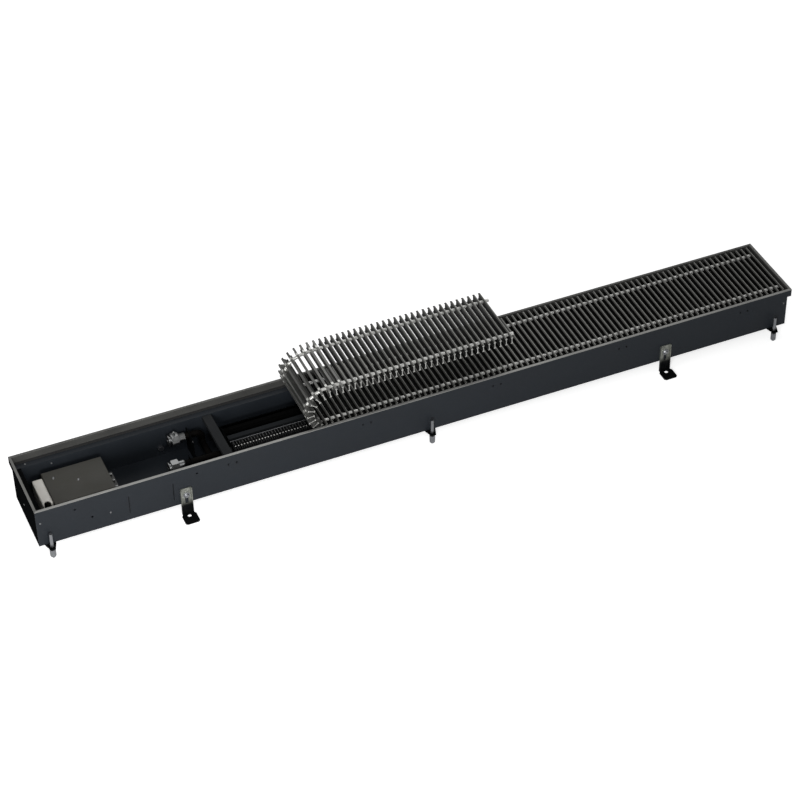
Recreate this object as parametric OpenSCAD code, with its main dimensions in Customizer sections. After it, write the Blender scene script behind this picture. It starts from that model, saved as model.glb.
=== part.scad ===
// Trench convector heater: a sheet-metal trough for a floor, with a finned heat exchanger, a cross-flow fan,
// a connection bay and a roll-up bar grille that is rolled back over itself at the left end.
// Places are measured from the near left top corner of the rim: x along the trough, y to the far side, z up.

/* [Trough] */
// Length over the rim
frame_l = 2000; // [1800:50:2400]
// Width over the rim
frame_w = 212; // [208:1:230]
// Height from the top of the rim to the underside of the trough
body_h = 107; // [104:1:125]
// Thickness of the folded sheet
sheet_t = 1.5; // [1:0.1:1.8]
// Overhang of the rim past the far wall of the trough
far_step = 28; // [24:1:30]
// Overhang of the rim past the right end of the trough
end_step = 11; // [8:0.5:14]
// Width of the ledge that carries the near ends of the bars
ledge_w = 20; // [17:1:22]
// Depth of the front ledge's downturned edge
ledge_leg = 5; // [3:0.5:6]

/* [Rim] */
// Width of the rim's visible lip
rim_w = 6; // [5:0.25:7]
// Thickness of the lip that covers the edge of the sheet
rim_cap_t = 2; // [1.5:0.1:2.5]
// Width of the damping strips under the bars
pad_w = 8; // [7:0.5:9]
// Thickness of the damping strips
pad_t = 1; // [0.8:0.1:1.5]

/* [Grille] */
// Height of a bar
bar_h = 18; // [16:0.5:19]
// Width of a bar's flanges
bar_flange_w = 5.5; // [5:0.25:6]
// Thickness of a bar's flanges
bar_flange_t = 1.8; // [1.4:0.1:2.2]
// Thickness of a bar's web
bar_web_t = 1.6; // [1.2:0.1:2]
// Distance from one bar to the next
bar_pitch = 15.25; // [14.5:0.25:16]
// Clearance from the ends of the bars to the rim
bar_end_gap = 4; // [2:0.5:5]
// Gap from the last bar to the rim at the right end
grille_end_gap = 11; // [2:0.5:12]
// How far the bars sit below the top of the rim
grille_drop = 0.5; // [0:0.1:1]
// Distance from the edge of the rim to each row of spacers
string_inset = 35; // [30:1:40]
// Diameter of the spacers between the bars
bead_d = 8; // [6.5:0.25:9]
// Diameter of the core that the bars are threaded on
core_d = 3.8; // [3:0.1:4.5]
// Gap all round the core in its holes
core_clear = 0.1; // [0.05:0.01:0.2]

/* [Rolled part] */
// Length of trough that the rolled grille leaves open
open_l = 722; // [710:2:800]
// Bars in the part that lies on top
flap_bars = 29; // [12:1:30]
// Distance from one bar to the next in the fold, where the core is stretched a little
roll_pitch = 16.5; // [15.5:0.25:17]
// Angle that the grille turns through in the fold
fold_turn = 180; // [170:1:182]
// Gap that a spacer keeps from the next bar while the roll bends
bead_clear = 0.3; // [0.25:0.05:0.6]

/* [Levelling feet] */
// Height of the trough above the floor
foot_drop = 33; // [31:1:45]
// Diameter of a levelling stud
stud_d = 8; // [6:0.5:10]
// Length of stud that stands above its tab
stud_above = 40; // [30:1:60]
// Distance from the wall of the trough to a stud
stud_out = 12; // [11:0.5:14]
// Size of a levelling foot across its flats
foot_af = 13; // [12:0.5:15]
// Height of a levelling foot's tip
foot_tip_h = 4; // [3:0.5:5]
// Diameter of the end of a levelling foot
foot_tip_d = 8; // [6:0.5:9]
// Width of the tab that holds a stud
tab_w = 27; // [24:1:30]
// Reach of the tab from the wall
tab_out = 22; // [21:1:24]
// Thickness of the tab
tab_t = 2.5; // [2:0.25:3]
// Height of the lock nut under a tab
locknut_h = 6; // [5:0.25:6.5]

/* [Anchor brackets] */
// Width of an anchor bracket
bracket_w = 28.5; // [26:0.5:32]
// Height of an anchor bracket
bracket_h = 80; // [75:1:88]
// Thickness of an anchor bracket
bracket_t = 2.5; // [2:0.25:3]
// Depth of the bracket's side flanges
bracket_flange = 6; // [5:0.5:8]
// Reach of the bracket's foot from the wall
bracket_foot_l = 41; // [38:1:60]
// Width of the bracket's foot
bracket_foot_w = 36; // [34:1:44]
// Height of the bracket's screw above the underside of the trough
bracket_screw_up = 26.5; // [24:0.5:28]
// Width of the bracket's slot
slot_w = 8.6; // [8.4:0.1:9.4]
// Height that the bracket can be moved by
slot_travel = 22; // [15:1:24]
// Diameter of the hole in the bracket's foot
anchor_hole_d = 10; // [8:0.5:11]
// Diameter of the bracket's screw
screw_d = 8; // [6:0.25:8]

/* [Cross braces] */
// Width of a brace
brace_w = 22; // [18:1:26]
// Depth of a brace's sides
brace_leg = 10; // [9.5:0.5:11]

/* [Heat exchanger] */
// Start of the finned block, from the left end of the rim
coil_x = 507; // [502:1:540]
// Clear length from the finned block to the right end of the trough
coil_end_gap = 100; // [80:5:150]
// Gap from the near wall to the fins, as a share of the width inside the trough
coil_gap_share = 0.135; // [0.12:0.005:0.14]
// Width of the fins, as a share of the width inside the trough
fin_w_share = 0.33; // [0.31:0.005:0.34]
// Clearance from the fins up to the cross braces
fin_top_gap = 6.5; // [5:0.5:9]
// Height of the fins above the floor of the trough
fin_lift = 10; // [8:1:12]
// Distance from one fin to the next
fin_pitch = 5.5; // [5:0.5:9]
// Thickness of a fin
fin_t = 0.5; // [0.3:0.05:0.8]
// Outer diameter of the tubes
tube_d = 15; // [12:0.5:16]
// Distance between the tubes, both ways, as a share of the fins' height
tube_gap_share = 0.53; // [0.51:0.005:0.54]

/* [Fan] */
// Radius of the fan's casing, as a share of the height under the cross braces
fan_height_share = 0.443; // [0.42:0.001:0.45]
// Thickness of the casing
fan_wall = 1.2; // [0.8:0.1:1.5]
// Gap from the impeller to its casing
fan_gap = 4; // [3:0.5:6]
// Blades round an impeller
fan_blades = 18; // [12:1:24]
// Length of the motor
motor_l = 90; // [70:5:110]
// Diameter of the fan's shaft
shaft_d = 6; // [5:0.5:8]
// Running clearance round the shaft
shaft_clear = 0.05; // [0.03:0.01:0.09]

/* [Connection bay] */
// Size of the union nuts across their flats
union_af = 29; // [26:0.5:30]
// Length of the union nuts
union_l = 18; // [15:1:20]
// Bore of the unions
union_bore_d = 15; // [12:0.5:16]
// Length of the controller's box
box_l = 146; // [130:1:150]
// Width of the controller's box, as a share of the width inside the trough
box_w_share = 0.63; // [0.56:0.01:0.65]
// Gap from the controller's lid up to the ledges
box_top_gap = 13.5; // [13:0.5:24]
// Width of the terminal cover beside the box
terminal_w = 26; // [22:1:27]
// Length of the terminal cover, as a share of the controller's width
terminal_l_share = 0.825; // [0.7:0.005:0.85]
// How much lower than the controller the terminal cover is
terminal_drop = 5; // [2:1:20]

/* [Hidden] */

// Overrun that lets one cut pass clean through a piece
cut = 1;
// Clearance of parts that are slipped into place
fit = 0.3;

// Levels
rim_h = grille_drop + bar_h + pad_t;
bar_z = -grille_drop - bar_h / 2;
ledge_z = -rim_h;
floor_z = sheet_t - body_h;
ground_z = -body_h - foot_drop;
wall_y = frame_w - far_step;
trough_l = frame_l - end_step;
inner_y = wall_y - sheet_t;
inner_w = inner_y - sheet_t;
brace_under = ledge_z - sheet_t - brace_leg;

// Places along the trough, as shares of its length
foot_x_shares = [0.0137, 0.4977, 0.9755];
bracket_x_shares = [0.182, 0.8208];
brace_x_shares = [0.2425, 0.415, 0.5875, 0.76, 0.932];

// Grille
last_bar_x = frame_l - rim_w - grille_end_gap - bar_flange_w / 2;
flat_bars = round((last_bar_x - open_l) / bar_pitch);
fold_x = last_bar_x - (flat_bars - 0.5) * bar_pitch;
bar_len = frame_w - 2 * (rim_w + bar_end_gap);
string_y = [string_inset, frame_w - string_inset];
bead_room = bar_pitch - bar_web_t;
roll_bead_room = roll_pitch - bar_web_t;

// Turn at each of the roll's hinges, as shares of the whole turn, from the flat part to the top
turn_shares = [28, 23, 19, 16, 21, 20, 19, 15, 11, 4, 2, 2];
hinges = len(turn_shares);
function share_sum(v, n) = n < 0 ? 0 : v[n] + share_sum(v, n - 1);
turn_all = share_sum(turn_shares, hinges - 1);
function turn_at(i) = fold_turn * turn_shares[i] / turn_all;
function heading(i) = fold_turn * share_sum(turn_shares, i) / turn_all;
function hinge_at(i) = i == 0
    ? [fold_x, bar_z]
    : hinge_at(i - 1) + roll_pitch * [-cos(heading(i - 1)), sin(heading(i - 1))];
// How far past a hinge the spacer on its left can reach and still clear the next bar at the hinge's full turn
function bead_reach(i) = (room_past(i) - bead_clear - bead_d / 2 * sin(turn_at(i))) / cos(turn_at(i));
// Distance from a hinge to the web of the bar on its right, which is the last flat bar at the first hinge
function room_past(i) = (i == 0 ? bead_room : roll_bead_room) / 2;

// Levelling feet and anchor brackets
foot_side_y = [-stud_out, wall_y + stud_out];
hex_over_af = 1 / cos(30);
hex_sides = 6;
tab_under = 18;
tab_nose_share = 0.45;
locknut_af = foot_af;
locknut_z = -body_h - tab_t - locknut_h;
foot_hex_h = locknut_z - ground_z - foot_tip_h;
bracket_z = ground_z + fit / 2;
screw_z = bracket_screw_up - body_h;
washer_t = 1.6;
washer_d = 17;
screw_head_d = 12.5;
screw_head_h = 3.4;
screw_nut_h = 6.5;
anchor_hole_share = 0.32;
bracket_corner = 4;
bracket_neck = 5;
nut_chamfer_share = 0.11;

// Heat exchanger and fan
coil_end_x = trough_l - coil_end_gap;
fin_y = sheet_t + coil_gap_share * inner_w;
fin_w = fin_w_share * inner_w;
fin_z = floor_z + fin_lift;
fin_h = brace_under - fin_top_gap - fin_z;
// Pipe centre lines keep to whole steps, so that straight and bent stretches meet exactly
place_step = 0.01;
function on_step(v) = round(v / place_step) * place_step;
tube_gap = on_step(tube_gap_share * fin_h);
tube_y = [fin_y + fin_w / 2 - tube_gap / 2, fin_y + fin_w / 2 + tube_gap / 2];
tube_z = [fin_z + fin_h / 2 - tube_gap / 2, fin_z + fin_h / 2 + tube_gap / 2];
fin_count = floor((coil_end_x - coil_x - 2 * fin_pitch) / fin_pitch);
plate_clear = 0.1;
coil_plate_t = 1.5;
coil_plate_over = 2;
tube_over = 6;
partition_y = fin_y + fin_w + coil_plate_over;
partition_t = 1.2;
partition_flange = 12;
partition_face = partition_y + partition_t;
fan_space = inner_y - partition_face;
fan_side_share = 0.355;
fan_r = min(fan_side_share * fan_space, fan_height_share * (brace_under - floor_z));
fan_y = inner_y - fan_space / 2;
fan_z = floor_z + fan_r + fit;
fan_plate_t = 2;
inlet_from = 55;
inlet_to = 135;
outlet_turn = 42;
outlet_low = fan_z - fan_r * sin(outlet_turn);
window_post_share = 0.08;
window_pitch = 170;
impeller_r = fan_r - fan_wall - fan_gap;
blade_t = 1;
blade_depth_share = 0.28;
disc_t = 1.5;
discs_per_impeller = 4;
motor_x = (coil_x + coil_end_x) / 2;
motor_r = impeller_r;
motor_foot_share = 0.7;
fan_spans = [[coil_x, motor_x - motor_l / 2], [motor_x + motor_l / 2, coil_end_x]];

// Connection bay
union_x = [355, 386];
union_wall_gap = 1;
supply_y = tube_y[1];
union_z = tube_z[1];
return_y = on_step(inner_y - union_af / 2 * hex_over_af - union_wall_gap);
nipple_gap = 7;
nipple_wall = 3;
nipple_d = union_bore_d + 2 * nipple_wall;
ring_t = 2;
adaptor_l = 17;
adaptor_af = 17;
cap_d = 22;
shoulder_r = 5;
vent_d = 6;
vent_h = 8;
vent_cap_share = 0.4;
plate_t = 1.2;
plate_rim = 3.5;
plate_top = union_z + tube_d / 2 + plate_rim;
near_plate_x = 403;
near_plate_y = supply_y + 13.5;
far_plate_x = 431;
far_plate_y = return_y - 38.5;
plate_flange = 8;
plate_bolt_drop = 6;
bend_r_share = 0.45;
bend_r = on_step(tube_gap * bend_r_share);
return_drop_x = 450;
box_x = 62;
box_y_share = 0.246;
box_y = sheet_t + box_y_share * inner_w;
box_w = box_w_share * inner_w;
box_h = ledge_z - sheet_t - box_top_gap - floor_z;
lid_screw_shares = [[0.15, 0.77], [0.51, 0.515]];
lid_screw_d = 7;
lid_screw_h = 2.2;
lid_t = 1;
lid_skirt = 12;
box_wall = 1.2;
terminal_wall = 2.5;
terminal_edge = 3;
terminal_l = terminal_l_share * box_w;
terminal_h = box_h - terminal_drop;
notch_d = 16;
strip_w = 12;
strip_drop = 20;
lug_count = 3;
lug_d = 6;
lug_h = 5;

// Details in the near wall
knockout_x_shares = [0.1119, 0.1667];
knockout_top = -36;
knockout_h = 52;
knockout_cut_w = 2.2;
near_hole_shares = [[0.0474, 0.24], [0.0668, 0.6], [0.1977, 0.24]];
hole_d = 6;
brace_tab_top = 26;
brace_tab_h = 4.5;
brace_tab_out = 1;
brace_slot_play = 1.2;
rivet_d = 5;
rivet_head_t = 1;
near_rivet_shares = [[0.0891, 0.63], [0.005, 0.355], [0.99, 0.355]];
end_rivet_share = 0.485;
end_rivet_h_share = 0.568;
ledge_rivet_share = 0.0169;
far_rivet_shares = [0.0476, 0.3];

// Row frame: the middle of the footprint, on the floor
module place() {
    translate([(rivet_head_t - frame_l) / 2, -wall_y / 2, -ground_z]) children();
}

// Extrudes an outline in y and z along x
module along_x(x0, x1) {
    translate([x0, 0, 0]) rotate([90, 0, 90]) linear_extrude(height = x1 - x0) children();
}

// Extrudes an outline in x and z along y
module along_y(y0, y1) {
    translate([0, y1, 0]) rotate([90, 0, 0]) linear_extrude(height = y1 - y0) children();
}

module box_between(low, high) {
    translate(low) cube(high - low);
}

module rod_x(x0, x1, y, z, d) {
    translate([x0, y, z]) rotate([0, 90, 0]) cylinder(h = x1 - x0, d = d, $fn = 48);
}

// Hexagon with the corners of both ends turned off to a cone
module turned_hex(h, af) {
    c = af * nut_chamfer_share;
    intersection() {
        cylinder(h = h, d = af * hex_over_af, $fn = hex_sides);
        rotate_extrude($fn = 48)
            polygon([
                [0, 0], [af / 2, 0], [af / 2 + c, c * 0.58], [af / 2 + c, h - c * 0.58], [af / 2, h], [0, h]]);
    }
}

// Cross-section of the folded trough: near wall, floor, far wall, ledge and the upstand behind the rim
module trough_outline() {
    polygon([
        [0, -rim_cap_t], [0, -body_h], [wall_y, -body_h], [wall_y, ledge_z - sheet_t],
        [frame_w, ledge_z - sheet_t], [frame_w, -rim_cap_t], [frame_w - sheet_t, -rim_cap_t],
        [frame_w - sheet_t, ledge_z], [inner_y, ledge_z], [inner_y, floor_z],
        [sheet_t, floor_z], [sheet_t, -rim_cap_t]]);
}

module far_fold_outline() {
    polygon([
        [inner_y, ledge_z - sheet_t], [frame_w, ledge_z - sheet_t], [frame_w, -rim_cap_t],
        [frame_w - sheet_t, -rim_cap_t], [frame_w - sheet_t, ledge_z], [inner_y, ledge_z]]);
}

// Holes, knock-out slits and brace slots in the near wall
module near_wall_cuts() {
    for (s = near_hole_shares)
        translate([s[0] * frame_l, -cut, -s[1] * body_h]) rotate([-90, 0, 0])
            cylinder(h = sheet_t + 2 * cut, d = hole_d, $fn = 32);
    for (s = knockout_x_shares)
        box_between([s * frame_l, -cut, knockout_top - knockout_h],
                    [s * frame_l + knockout_cut_w, sheet_t + cut, knockout_top]);
    for (s = brace_x_shares, side = [-1, 1])
        box_between([s * frame_l + side * (brace_w - sheet_t) / 2 - sheet_t / 2 - brace_slot_play, -cut,
                     -brace_tab_top - brace_tab_h - fit],
                    [s * frame_l + side * (brace_w - sheet_t) / 2 + sheet_t / 2 + brace_slot_play,
                     sheet_t + cut, brace_slot_play - brace_tab_top]);
}

module bracket_screw_hole(y) {
    for (s = bracket_x_shares)
        translate([s * frame_l, y - cut, screw_z]) rotate([-90, 0, 0])
            cylinder(h = sheet_t + 2 * cut, d = screw_d + fit, $fn = 48);
}

module trough() {
    color([0.17, 0.19, 0.21]) place() difference() {
        union() {
            along_x(0, trough_l) trough_outline();
            along_x(trough_l, frame_l) far_fold_outline();
            box_between([trough_l, 0, ledge_z - sheet_t], [frame_l, sheet_t, -rim_cap_t]);
        }
        near_wall_cuts();
        bracket_screw_hole(0);
        bracket_screw_hole(inner_y);
    }
}

// Left end: a plate in the mouth of the trough, its top folded in as a ledge
module left_end_plate() {
    color([0.09, 0.1, 0.11]) place() union() {
        along_x(0, sheet_t) polygon([
            [sheet_t, floor_z], [inner_y, floor_z], [inner_y, ledge_z], [frame_w - sheet_t, ledge_z],
            [frame_w - sheet_t, -rim_cap_t], [sheet_t, -rim_cap_t]]);
        box_between([0, sheet_t + ledge_w + fit, ledge_z - sheet_t], [ledge_w, inner_y, ledge_z]);
    }
}

// Right end: the plate steps out under the rim
module right_end_plate() {
    color([0.09, 0.1, 0.11]) place() union() {
        along_y(sheet_t, inner_y) polygon([
            [trough_l - sheet_t, floor_z], [trough_l, floor_z], [trough_l, ledge_z - sheet_t],
            [frame_l, ledge_z - sheet_t], [frame_l, -rim_cap_t], [frame_l - sheet_t, -rim_cap_t],
            [frame_l - sheet_t, ledge_z], [trough_l - sheet_t, ledge_z]]);
        box_between([frame_l - sheet_t, inner_y, ledge_z], [frame_l, frame_w - sheet_t, -rim_cap_t]);
    }
}

module front_ledge() {
    color([0.14, 0.15, 0.17]) place() along_x(sheet_t, trough_l - sheet_t) polygon([
        [sheet_t, ledge_z], [sheet_t, ledge_z - sheet_t - ledge_leg],
        [2 * sheet_t, ledge_z - sheet_t - ledge_leg], [2 * sheet_t, ledge_z - sheet_t],
        [sheet_t + ledge_w, ledge_z - sheet_t], [sheet_t + ledge_w, ledge_z]]);
}

// Section of the rim, measured inwards from the outer edge
module rim_outline() {
    bevel = rim_cap_t / 4;
    polygon([
        [0, 0], [rim_w - bevel, 0], [rim_w, -bevel], [rim_w, -rim_h], [sheet_t, -rim_h],
        [sheet_t, -rim_cap_t], [0, -rim_cap_t]]);
}

// One side of the rim, its ends cut to a mitre
module rim_side(length) {
    intersection() {
        along_x(0, length) rim_outline();
        translate([0, 0, -rim_h - cut]) linear_extrude(height = rim_h + 2 * cut)
            polygon([[0, 0], [length, 0], [length - frame_w / 2, frame_w / 2], [frame_w / 2, frame_w / 2]]);
    }
}

module rim_near() {
    color([0.6, 0.61, 0.6]) place() rim_side(frame_l);
}

module rim_far() {
    color([0.6, 0.61, 0.6]) place() translate([frame_l, frame_w, 0]) rotate([0, 0, 180]) rim_side(frame_l);
}

module rim_left() {
    color([0.6, 0.61, 0.6]) place() translate([0, frame_w, 0]) rotate([0, 0, -90]) rim_side(frame_w);
}

module rim_right() {
    color([0.6, 0.61, 0.6]) place() translate([frame_l, 0, 0]) rotate([0, 0, 90]) rim_side(frame_w);
}

// Strips that the ends of the bars rest on
module damping_strips() {
    color([0.05, 0.05, 0.05]) place() {
        for (y = [rim_w, frame_w - rim_w - pad_w])
            box_between([rim_w, y, ledge_z], [trough_l - sheet_t, y + pad_w, ledge_z + pad_t]);
    }
}

// A brace is a channel with its open side down; two tabs go through slots in the near wall
module cross_brace() {
    channel_y = 2 * sheet_t;
    top_z = ledge_z - sheet_t;
    difference() {
        box_between([-brace_w / 2, channel_y, top_z - brace_leg], [brace_w / 2, inner_y, top_z]);
        box_between([sheet_t - brace_w / 2, channel_y - cut, top_z - brace_leg - cut],
                    [brace_w / 2 - sheet_t, inner_y + cut, top_z - sheet_t]);
    }
    for (side = [-1, 1])
        translate([side * (brace_w - sheet_t) / 2 - sheet_t / 2, -brace_tab_out,
                   -brace_tab_top - brace_tab_h]) cube([sheet_t, channel_y + brace_tab_out, brace_tab_h]);
}

module cross_braces() {
    color([0.14, 0.15, 0.17]) place() {
        for (s = brace_x_shares)
            translate([s * frame_l, 0, 0]) cross_brace();
    }
}

// Tab under the trough, narrowed to a nose round its stud
module levelling_tab() {
    difference() {
        translate([0, 0, -body_h - tab_t]) linear_extrude(height = tab_t) polygon([
            [-tab_w / 2, tab_under], [tab_w / 2, tab_under], [tab_w / 2, 0],
            [tab_w / 2 * tab_nose_share, -tab_out], [-tab_w / 2 * tab_nose_share, -tab_out],
            [-tab_w / 2, 0]]);
        translate([0, -stud_out, -body_h - tab_t - cut])
            cylinder(h = tab_t + 2 * cut, d = stud_d + 2 * core_clear, $fn = 48);
    }
}

// Repeats a near-side piece at the three stations of each side
module at_each_foot() {
    for (s = foot_x_shares) {
        translate([s * frame_l, 0, 0]) children();
        translate([s * frame_l, wall_y, 0]) rotate([0, 0, 180]) children();
    }
}

module levelling_tabs() {
    color([0.08, 0.08, 0.09]) place() at_each_foot() levelling_tab();
}

module levelling_locknuts() {
    color([0.25, 0.25, 0.26]) place() at_each_foot() difference() {
        translate([0, -stud_out, locknut_z]) turned_hex(locknut_h, locknut_af);
        translate([0, -stud_out, locknut_z - cut])
            cylinder(h = locknut_h + 2 * cut, d = stud_d + 2 * core_clear, $fn = 48);
    }
}

// Stud with a hexagonal foot and a tapered tip
module levelling_foot(i) {
    side = i < len(foot_x_shares) ? 0 : 1;
    station = i % len(foot_x_shares);
    color([0.6, 0.61, 0.62]) place()
    translate([foot_x_shares[station] * frame_l, foot_side_y[side], 0]) union() {
        translate([0, 0, ground_z])
            cylinder(h = foot_tip_h, d1 = foot_tip_d, d2 = foot_af, $fn = 48);
        translate([0, 0, ground_z + foot_tip_h]) turned_hex(foot_hex_h, foot_af);
        translate([0, 0, locknut_z])
            cylinder(h = stud_above - body_h - locknut_z, d = stud_d, $fn = 48);
    }
}

// Channel-shaped upright with a slot, and a foot plate with a hole
module anchor_bracket_shape() {
    back_y = -fit / 2;
    difference() {
        union() {
            box_between([-bracket_w / 2, back_y - bracket_t, bracket_z],
                        [bracket_w / 2, back_y, bracket_z + bracket_h]);
            for (side = [-1, 1])
                translate([side * (bracket_w - bracket_t) / 2 - bracket_t / 2, back_y - bracket_flange,
                           bracket_z]) cube([bracket_t, bracket_flange, bracket_h]);
            translate([0, 0, bracket_z]) linear_extrude(height = bracket_t) polygon([
                [-bracket_w / 2, back_y], [-bracket_w / 2, back_y - bracket_flange],
                [-bracket_foot_w / 2, back_y - bracket_flange - bracket_neck],
                [-bracket_foot_w / 2, bracket_corner - bracket_foot_l],
                [bracket_corner - bracket_foot_w / 2, -bracket_foot_l],
                [bracket_foot_w / 2 - bracket_corner, -bracket_foot_l],
                [bracket_foot_w / 2, bracket_corner - bracket_foot_l],
                [bracket_foot_w / 2, back_y - bracket_flange - bracket_neck],
                [bracket_w / 2, back_y - bracket_flange], [bracket_w / 2, back_y]]);
        }
        along_y(back_y - bracket_t - cut, back_y + cut)
            translate([0, screw_z]) bracket_slot_outline();
        translate([0, -anchor_hole_share * bracket_foot_l, bracket_z - cut])
            cylinder(h = bracket_t + 2 * cut, d = anchor_hole_d, $fn = 48);
    }
}

// The screw stands at the slot's upper end, so the bracket can be lifted
module bracket_slot_outline() {
    circle(d = slot_w, $fn = 48);
    translate([-slot_w / 2, -slot_travel]) square([slot_w, slot_travel]);
    translate([0, -slot_travel]) circle(d = slot_w, $fn = 48);
}

module anchor_bracket(i) {
    station = i % len(bracket_x_shares);
    far = i >= len(bracket_x_shares);
    color([0.62, 0.63, 0.6]) place() translate([bracket_x_shares[station] * frame_l, far ? wall_y : 0, 0])
        rotate([0, 0, far ? 180 : 0]) anchor_bracket_shape();
}

// Pan-head screw, washer and the nut inside the wall
module bracket_screw() {
    washer_y = -fit - bracket_t;
    rotate([90, 0, 0]) {
        translate([0, 0, -sheet_t - screw_nut_h])
            cylinder(h = sheet_t + screw_nut_h - washer_y, d = screw_d, $fn = 48);
        translate([0, 0, -washer_y]) cylinder(h = washer_t, d = washer_d, $fn = 48);
        translate([0, 0, washer_t - washer_y])
            cylinder(h = screw_head_h, d1 = screw_head_d, d2 = screw_head_d * 0.6, $fn = 48);
        translate([0, 0, -sheet_t - screw_nut_h]) turned_hex(screw_nut_h, foot_af);
    }
}

module bracket_screws() {
    color([0.7, 0.7, 0.68]) place() {
        for (s = bracket_x_shares) {
            translate([s * frame_l, 0, screw_z]) bracket_screw();
            translate([s * frame_l, wall_y, screw_z]) rotate([0, 0, 180]) bracket_screw();
        }
    }
}

// Domed head, its flat face at the origin and its dome along +z
module rivet_head() {
    rotate_extrude($fn = 32)
        polygon([
            [0, 0], [rivet_d / 2, 0], [rivet_d * 0.43, rivet_head_t * 0.6], [rivet_d / 4, rivet_head_t],
            [0, rivet_head_t]]);
}

module rivets() {
    color([0.65, 0.65, 0.63]) place() {
        for (s = near_rivet_shares)
            translate([s[0] * frame_l, 0, -s[1] * body_h]) rotate([90, 0, 0]) rivet_head();
        translate([0, end_rivet_share * frame_w, -end_rivet_h_share * body_h])
            rotate([0, -90, 0]) rivet_head();
        translate([trough_l, end_rivet_share * frame_w, -end_rivet_h_share * body_h])
            rotate([0, 90, 0]) rivet_head();
        translate([ledge_rivet_share * frame_l, frame_w - rim_w - pad_w - rivet_d, ledge_z]) rivet_head();
        translate([far_plate_x, far_plate_y + rivet_d, plate_top - plate_bolt_drop])
            rotate([0, -90, 0]) rivet_head();
        translate([far_rivet_shares[0] * frame_l, inner_y, -far_rivet_shares[1] * body_h])
            rotate([90, 0, 0]) rivet_head();
    }
}

// Upright sheet between the heat exchanger and the fan, with windows where the fan blows through
module partition() {
    high = brace_under;
    windows = floor((coil_end_x - coil_x) / window_pitch);
    pitch = (coil_end_x - coil_x) / windows;
    post = pitch * window_post_share;
    color([0.16, 0.17, 0.19]) place() difference() {
        along_x(coil_x, coil_end_x) polygon([
            [partition_y, floor_z], [partition_face, floor_z], [partition_face, high - partition_t],
            [partition_face + partition_flange, high - partition_t],
            [partition_face + partition_flange, high], [partition_y, high]]);
        for (i = [0:windows - 1])
            box_between([coil_x + i * pitch + post, partition_y - cut, outlet_low],
                        [coil_x + (i + 1) * pitch - post, partition_face + cut, fan_z]);
    }
}

// Four straight tubes with the fins that are pressed onto them, as one block
module coil_block() {
    color([0.3, 0.31, 0.32]) place() union() {
        for (i = [1:fin_count])
            translate([coil_x + i * fin_pitch, fin_y, fin_z]) cube([fin_t, fin_w, fin_h]);
        for (y = tube_y, z = tube_z)
            rod_x(coil_x - tube_over, coil_end_x + tube_over, y, z, tube_d);
    }
}

module coil_end_plate() {
    rotate([90, 0, 90]) linear_extrude(height = coil_plate_t) difference() {
        translate([fin_y - coil_plate_over, floor_z])
            square([fin_w + 2 * coil_plate_over, fin_lift + fin_h + coil_plate_over]);
        for (y = tube_y, z = tube_z)
            translate([y, z]) circle(d = tube_d + 2 * plate_clear, $fn = 48);
    }
}

module coil_end_plates() {
    color([0.12, 0.13, 0.14]) place() {
        translate([coil_x, 0, 0]) coil_end_plate();
        translate([coil_end_x - coil_plate_t, 0, 0]) coil_end_plate();
    }
}

// Half ring of tube that lies flat and bulges towards +x, its ends a tube gap apart
module half_ring() {
    rotate([0, 0, -90]) rotate_extrude(angle = 180, $fn = 64)
        translate([tube_gap / 2, 0]) circle(d = tube_d, $fn = 32);
}

module coil_return_bends() {
    mid_y = (tube_y[0] + tube_y[1]) / 2;
    mid_z = (tube_z[0] + tube_z[1]) / 2;
    color([0.6, 0.38, 0.25]) place() {
        for (z = tube_z)
            translate([coil_end_x + tube_over, mid_y, z]) half_ring();
        translate([coil_x - tube_over, tube_y[0], mid_z]) rotate([90, 0, 0]) rotate([0, 0, 180]) half_ring();
    }
}

module supply_pipe() {
    color([0.6, 0.38, 0.25]) place()
        rod_x(union_x[0] + union_l + adaptor_l, coil_x - tube_over, supply_y, union_z, tube_d);
}

// Quarter ring of tube about the origin, from +x round to +y
module quarter_ring() {
    rotate_extrude(angle = 90, $fn = 64) translate([bend_r, 0]) circle(d = tube_d, $fn = 32);
}

// From the far union along x, down at the drop, then across to the lower inner tube
module return_pipe() {
    drop_y = return_y;
    low_z = tube_z[0];
    turn_x = return_drop_x + bend_r;
    color([0.6, 0.38, 0.25]) place() {
        rod_x(union_x[1] + union_l + adaptor_l, return_drop_x, return_y, union_z, tube_d);
        translate([return_drop_x, return_y, union_z - bend_r]) rotate([90, 0, 0]) quarter_ring();
        translate([turn_x, drop_y, low_z + bend_r])
            cylinder(h = union_z - low_z - 2 * bend_r, d = tube_d, $fn = 48);
        translate([turn_x, drop_y - bend_r, low_z + bend_r]) rotate([0, 90, 0]) quarter_ring();
        translate([turn_x, supply_y + bend_r, low_z]) rotate([-90, 0, 0])
            cylinder(h = drop_y - supply_y - 2 * bend_r, d = tube_d, $fn = 48);
        translate([turn_x + bend_r, supply_y + bend_r, low_z]) rotate([0, 0, 180]) quarter_ring();
        rod_x(turn_x + bend_r, coil_x - tube_over, supply_y, low_z, tube_d);
    }
}

module at_union(x, y) {
    translate([x, y, union_z]) rotate([0, 90, 0]) rotate([0, 0, 30]) children();
}

module at_unions() {
    at_union(union_x[0], supply_y) children();
    at_union(union_x[1], return_y) children();
}

// Large hexagon nut, open towards the customer's pipe
module union_nuts() {
    color([0.72, 0.7, 0.66]) place() at_unions() difference() {
        turned_hex(union_l, union_af);
        translate([0, 0, -cut]) cylinder(h = union_l + 2 * cut, d = nipple_d, $fn = 48);
    }
}

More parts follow.
